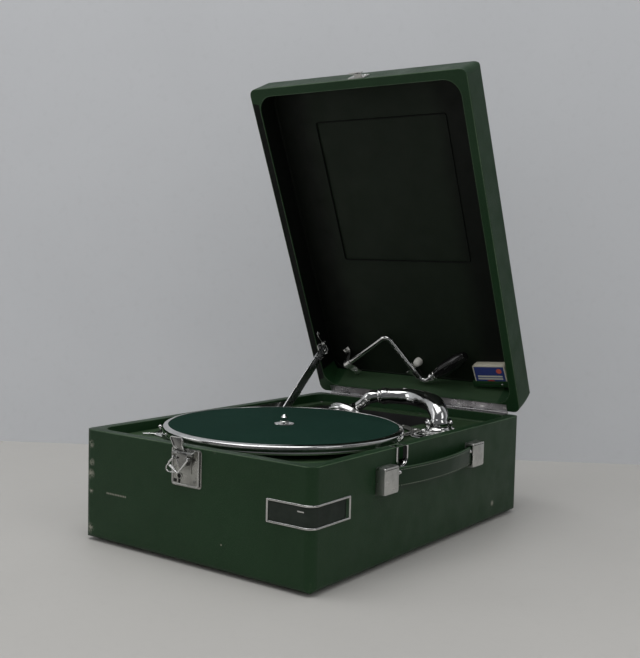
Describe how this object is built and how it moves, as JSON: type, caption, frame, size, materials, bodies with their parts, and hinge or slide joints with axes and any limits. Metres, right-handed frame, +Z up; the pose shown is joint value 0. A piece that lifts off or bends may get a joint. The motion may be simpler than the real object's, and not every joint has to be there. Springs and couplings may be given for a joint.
{
  "type": "portable gramophone",
  "caption": "Portable wind-up gramophone in a leathercloth case: open lid, turntable, tone arm, spring motor and stowed winding handle.",
  "frame": {"origin": "under the middle of the case, on the surface that the feet stand on", "axes": "+Z up; the latch faces -Y, the hinge is at +Y and the carrying handle at +X"},
  "size_m": [0.309, 0.4488, 0.5065],
  "materials": {
    "leathercloth": "grained green leathercloth over wood",
    "lining": "dark green lining cloth",
    "deck_cover": "dark green leathercloth",
    "board": "plain board",
    "chrome": "bright plating",
    "steel": "plain steel",
    "spring_steel": "blued spring steel",
    "brass": "turned brass",
    "sheet": "black enamel",
    "felt": "green felt",
    "rubber": "black rubber",
    "white_rubber": "white rubber",
    "ebonite": "polished black",
    "leather": "stitched green leather",
    "tin": "printed tinplate",
    "foil": "corrugated foil"
  },
  "bodies": {
    "case": {"case_body": "leathercloth", "bottom_board": "board", "feet": "rubber", "corner_bezel": "chrome", "slot_escutcheon": "chrome", "latch_plate": "chrome", "handle_clips": "chrome", "handle_strap": "leather", "hinge_case_leaf": "chrome", "hinge_pin": "steel", "deck": "deck_cover", "horn": "sheet", "tonearm_base": "chrome", "motor_top_plate": "steel", "motor_bottom_plate": "steel", "motor_pillars": "brass", "motor_bushes": "rubber", "winding_bearing": "steel", "governor_bearings": "steel", "stay_slot_plate": "steel", "brake_post": "chrome", "tray_pin": "steel"},
    "lid": {"lid_shell": "leathercloth", "lid_lining": "lining", "lid_catch": "chrome", "hinge_lid_leaf": "chrome", "crank_bracket": "chrome", "crank_clip": "chrome", "rubber_buffer": "white_rubber", "tin_pocket": "leathercloth", "stay_bracket": "chrome"},
    "stay": {"stay_arm": "chrome"},
    "tin": {"needle_tin": "tin"},
    "crank": {"winding_handle": "chrome"},
    "grip": {"handle_grip": "ebonite"},
    "turntable": {"platter": "chrome", "platter_felt": "felt", "turntable_spindle": "steel", "worm_wheel": "brass"},
    "intermediate": {"intermediate_wheel": "brass"},
    "barrel": {"spring_barrel": "brass", "mainspring": "spring_steel"},
    "governor": {"governor_shaft": "steel", "governor_weights": "brass", "governor_disc": "steel"},
    "arbor": {"winding_arbor": "steel"},
    "winder": {"winding_shaft": "steel"},
    "turret": {"arm_turret": "chrome"},
    "arm": {"tone_arm": "chrome"},
    "reproducer": {"gooseneck": "chrome", "soundbox": "chrome", "diaphragm": "foil", "stylus_bar": "chrome", "needle": "steel"},
    "speed": {"speed_lever": "chrome"},
    "brake": {"brake_lever": "chrome"},
    "tray": {"needle_tray": "leathercloth"},
    "hook": {"latch_hook": "chrome"},
    "lever": {"latch_lever": "chrome"},
    "bail": {"latch_bail": "chrome"}
  },
  "joints": [
    {"name": "lid_hinge", "type": "hinge", "parent": "case", "child": "lid", "pos_m": [0, 0.2078, 0.11515], "axis": [1, 0, 0], "range_deg": [0, 66.6]},
    {"name": "stay_pivot", "type": "hinge", "parent": "lid", "child": "stay", "pos_m": [-0.1308, 0.18823, 0.17511], "axis": [1, 0, 0], "range_deg": [-99, 0]},
    {"name": "tin_slide", "type": "slide", "parent": "lid", "child": "tin", "axis": [0.0785, 0.3959, -0.9149], "range_m": [-0.01, 0]},
    {"name": "crank_slide", "type": "slide", "parent": "lid", "child": "crank", "axis": [-0.8339, 0.2192, -0.5065], "range_m": [-0.012, 0]},
    {"name": "grip_spin", "type": "hinge", "parent": "crank", "child": "grip", "pos_m": [0.07621, 0.19611, 0.18157], "axis": [0.8339, -0.2192, 0.5065], "continuous": true},
    {"name": "turntable_spin", "type": "hinge", "parent": "case", "child": "turntable", "pos_m": [0, -0.06, 0.1196], "axis": [0, 0, 1], "continuous": true},
    {"name": "intermediate_spin", "type": "hinge", "parent": "case", "child": "intermediate", "pos_m": [0.01911, -0.02773, 0.06], "axis": [0, 0, 1], "continuous": true},
    {"name": "barrel_spin", "type": "hinge", "parent": "case", "child": "barrel", "pos_m": [0.052, -0.062, 0.04569], "axis": [0, 0, 1], "continuous": true},
    {"name": "governor_spin", "type": "hinge", "parent": "case", "child": "governor", "pos_m": [-0.023, -0.06, 0.03969], "axis": [0, 1, 0], "continuous": true},
    {"name": "arbor_wind", "type": "hinge", "parent": "case", "child": "arbor", "pos_m": [0.052, -0.062, 0.07779], "axis": [0, 0, 1], "continuous": true},
    {"name": "winding_spin", "type": "hinge", "parent": "case", "child": "winder", "pos_m": [0.052, -0.062, 0.07779], "axis": [0.9651, 0, 0.2619], "continuous": true},
    {"name": "arm_swing", "type": "hinge", "parent": "case", "child": "turret", "pos_m": [0.103, 0.088, 0.105], "axis": [0, 0, 1], "range_deg": [-15, 5]},
    {"name": "arm_lift", "type": "hinge", "parent": "turret", "child": "arm", "pos_m": [0.103, 0.088, 0.114], "axis": [-0.6428, -0.766, 0], "range_deg": [-15, 0]},
    {"name": "soundbox_turn", "type": "hinge", "parent": "arm", "child": "reproducer", "pos_m": [0.008, 0.1165, 0.1332], "axis": [-0.8566, -0.514, -0.0457], "range_deg": [-110, 0]},
    {"name": "speed_turn", "type": "hinge", "parent": "case", "child": "speed", "pos_m": [-0.101, -0.136, 0.105], "axis": [0, 0, 1], "range_deg": [-12, 12]},
    {"name": "brake_turn", "type": "hinge", "parent": "case", "child": "brake", "pos_m": [0.088, 0.064, 0.105], "axis": [0, 0, 1], "range_deg": [0, 10]},
    {"name": "tray_swing", "type": "hinge", "parent": "case", "child": "tray", "pos_m": [0.1395, -0.156, 0.07], "axis": [0, 0, 1], "range_deg": [0, 34]},
    {"name": "hook_turn", "type": "hinge", "parent": "case", "child": "hook", "pos_m": [-0.0025, -0.2062, 0.1], "axis": [0, 1, 0], "range_deg": [0, 29]},
    {"name": "lever_lift", "type": "hinge", "parent": "case", "child": "lever", "pos_m": [-0.0025, -0.2102, 0.1084], "axis": [-1, 0, 0], "range_deg": [0, 60]},
    {"name": "bail_swing", "type": "hinge", "parent": "lever", "child": "bail", "pos_m": [-0.0025, -0.2131, 0.1044], "axis": [-1, 0, 0], "range_deg": [0, 100]}
  ],
  "couplings": [
    {"joint": "stay_pivot", "follows": "lid_hinge", "ratio": -1.47},
    {"joint": "intermediate_spin", "follows": "turntable_spin", "ratio": -0.25},
    {"joint": "barrel_spin", "follows": "turntable_spin", "ratio": 0.046875},
    {"joint": "governor_spin", "follows": "turntable_spin", "ratio": 15},
    {"joint": "winding_spin", "follows": "arbor_wind", "ratio": 3.8182}
  ]
}
